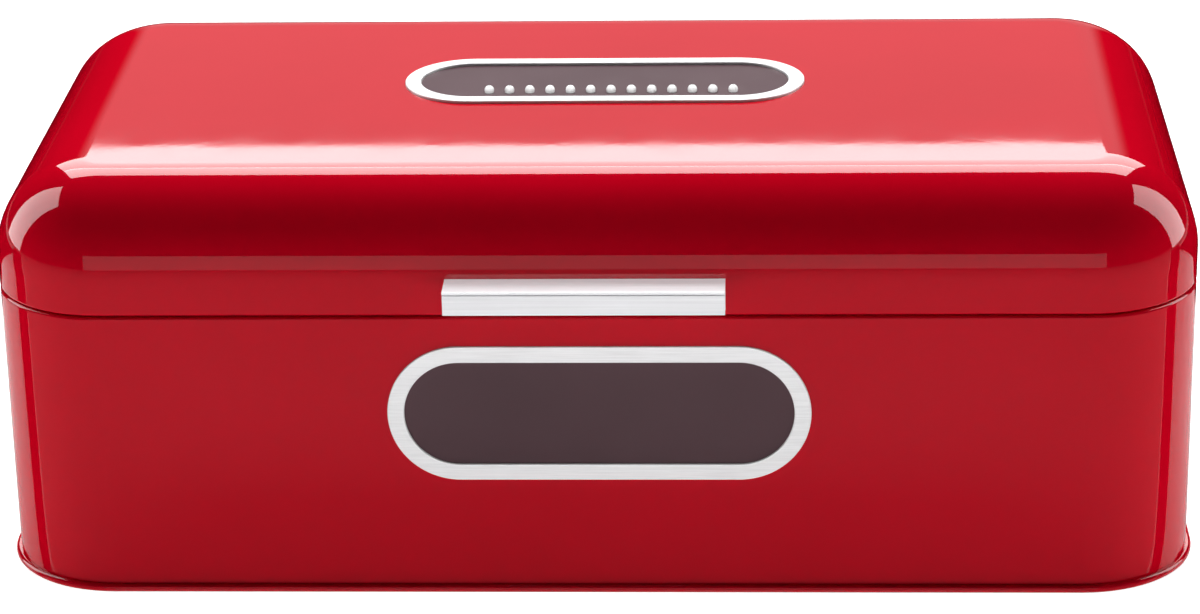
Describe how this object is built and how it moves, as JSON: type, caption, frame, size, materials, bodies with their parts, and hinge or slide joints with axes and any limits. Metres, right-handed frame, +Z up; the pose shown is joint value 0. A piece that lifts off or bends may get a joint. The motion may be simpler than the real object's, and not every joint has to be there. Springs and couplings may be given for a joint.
{
  "type": "metal bread box",
  "caption": "Rounded sheet-steel bread box with a domed lid hinged at the back, an oval front window, an oval vent in the lid and a channel grip.",
  "frame": {"origin": "middle of the footprint, on the plane the base stands on", "axes": "+X to the right seen from the front, +Y to the back where the hinges are, +Z up"},
  "size_m": [0.434, 0.2502, 0.1545],
  "materials": {
    "red_enamel": "high-gloss red enamel on sheet steel",
    "bezel_metal": "satin, lightly brushed",
    "grip_metal": "brushed along its length",
    "smoked_acrylic": "smoked, polished",
    "eyelet_plastic": "white, glossy",
    "seal_rubber": "matt black",
    "pad_rubber": "matt dark grey",
    "plain_steel": "bright tinplate",
    "hinge_steel": "nickel plated, satin",
    "rivet_metal": "bright"
  },
  "bodies": {
    "box": {"body_wall": "red_enamel", "base_pan": "red_enamel", "base_pads": "pad_rubber", "rim_collar": "red_enamel", "front_window_bezel": "bezel_metal", "front_window_pane": "smoked_acrylic", "front_window_seal": "seal_rubber", "front_window_retainer": "plain_steel", "hinge_body_leaf_left": "hinge_steel", "hinge_body_leaf_right": "hinge_steel", "hinge_pin_left": "hinge_steel", "hinge_pin_right": "hinge_steel", "hinge_body_rivets": "rivet_metal"},
    "lid": {"lid_shell": "red_enamel", "vent_bezel": "bezel_metal", "vent_plate": "smoked_acrylic", "vent_seal": "seal_rubber", "vent_retainer": "plain_steel", "vent_eyelets": "eyelet_plastic", "grip": "grip_metal", "grip_strip": "plain_steel", "grip_screws": "rivet_metal", "hinge_lid_leaf_left": "hinge_steel", "hinge_lid_leaf_right": "hinge_steel", "hinge_lid_rivets": "rivet_metal"}
  },
  "joints": [
    {"name": "lid_hinge", "type": "hinge", "parent": "box", "child": "lid", "pos_m": [0, 0.1169, 0.1065], "axis": [-1, 0, 0], "range_deg": [0, 100]}
  ]
}
